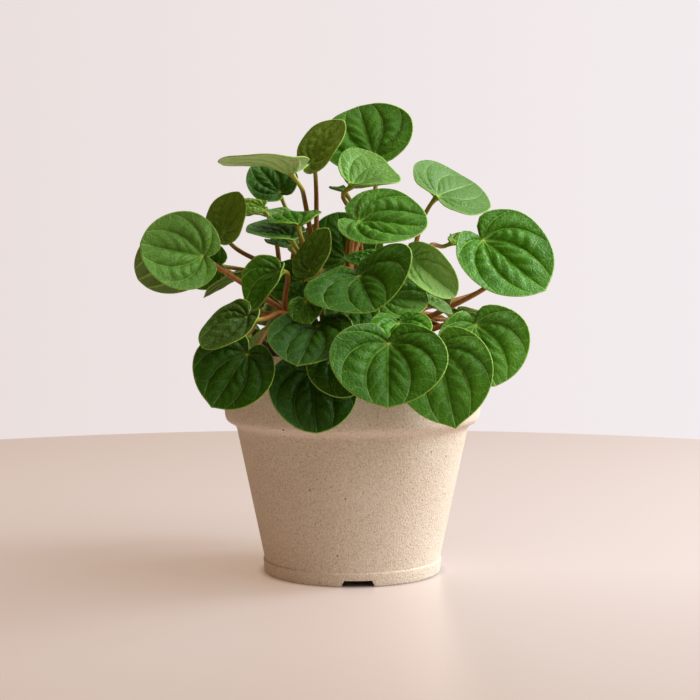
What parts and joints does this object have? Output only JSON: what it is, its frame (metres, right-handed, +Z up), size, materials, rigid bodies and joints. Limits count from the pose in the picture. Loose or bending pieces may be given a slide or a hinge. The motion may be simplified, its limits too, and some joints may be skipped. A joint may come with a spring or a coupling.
{
  "type": "potted peperomia",
  "caption": "Small peperomia with round heart-shaped green leaves on red-brown leafstalks, in a sandy beige tapered plant pot with a deep rim, 223 mm tall.",
  "frame": {"origin": "middle of the pot's underside, on the surface that the pot stands on", "axes": "+Z up, -Y towards the side that the picture shows, +X to the right in the picture"},
  "size_m": [0.2047, 0.1988, 0.2225],
  "materials": {
    "pot": "dry sandy beige fibre and mineral mix with fine pores",
    "soil": "crumbly dark potting soil",
    "stem": "smooth red-brown living stem",
    "leaf": "satin, slightly fleshy green leaf"
  },
  "bodies": {
    "root": {"pot": "pot", "soil": "soil", "stem_left": "stem", "stem_left_back": "stem", "stem_middle": "stem", "stem_right": "stem", "stem_front": "stem", "stem_front_right": "stem", "stem_back_left": "stem", "stem_back_right": "stem", "shoot_left": "leaf", "shoot_right": "leaf", "leaf_01": "leaf", "leaf_02": "leaf", "leaf_03": "leaf", "leaf_04": "leaf", "leaf_05": "leaf", "leaf_06": "leaf", "leaf_07": "leaf", "leaf_08": "leaf", "leaf_09": "leaf", "leaf_10": "leaf", "leaf_11": "leaf", "leaf_12": "leaf", "leaf_13": "leaf", "leaf_14": "leaf", "leaf_15": "leaf", "leaf_16": "leaf", "leaf_17": "leaf", "leaf_18": "leaf", "leaf_19": "leaf", "leaf_20": "leaf", "leaf_21": "leaf", "leaf_22": "leaf", "leaf_23": "leaf", "leaf_24": "leaf", "leaf_25": "leaf", "leaf_26": "leaf", "leaf_27": "leaf", "leaf_28": "leaf", "leaf_29": "leaf", "leaf_30": "leaf", "leaf_31": "leaf", "leaf_32": "leaf", "leaf_33": "leaf", "leaf_34": "leaf", "leaf_35": "leaf", "leaf_36": "leaf", "leaf_37": "leaf", "leaf_38": "leaf", "leaf_39": "leaf", "leaf_40": "leaf", "leaf_41": "leaf", "leaf_42": "leaf", "leaf_43": "leaf", "leaf_44": "leaf", "leaf_45": "leaf", "leaf_46": "leaf", "leaf_47": "leaf"}
  },
  "joints": []
}
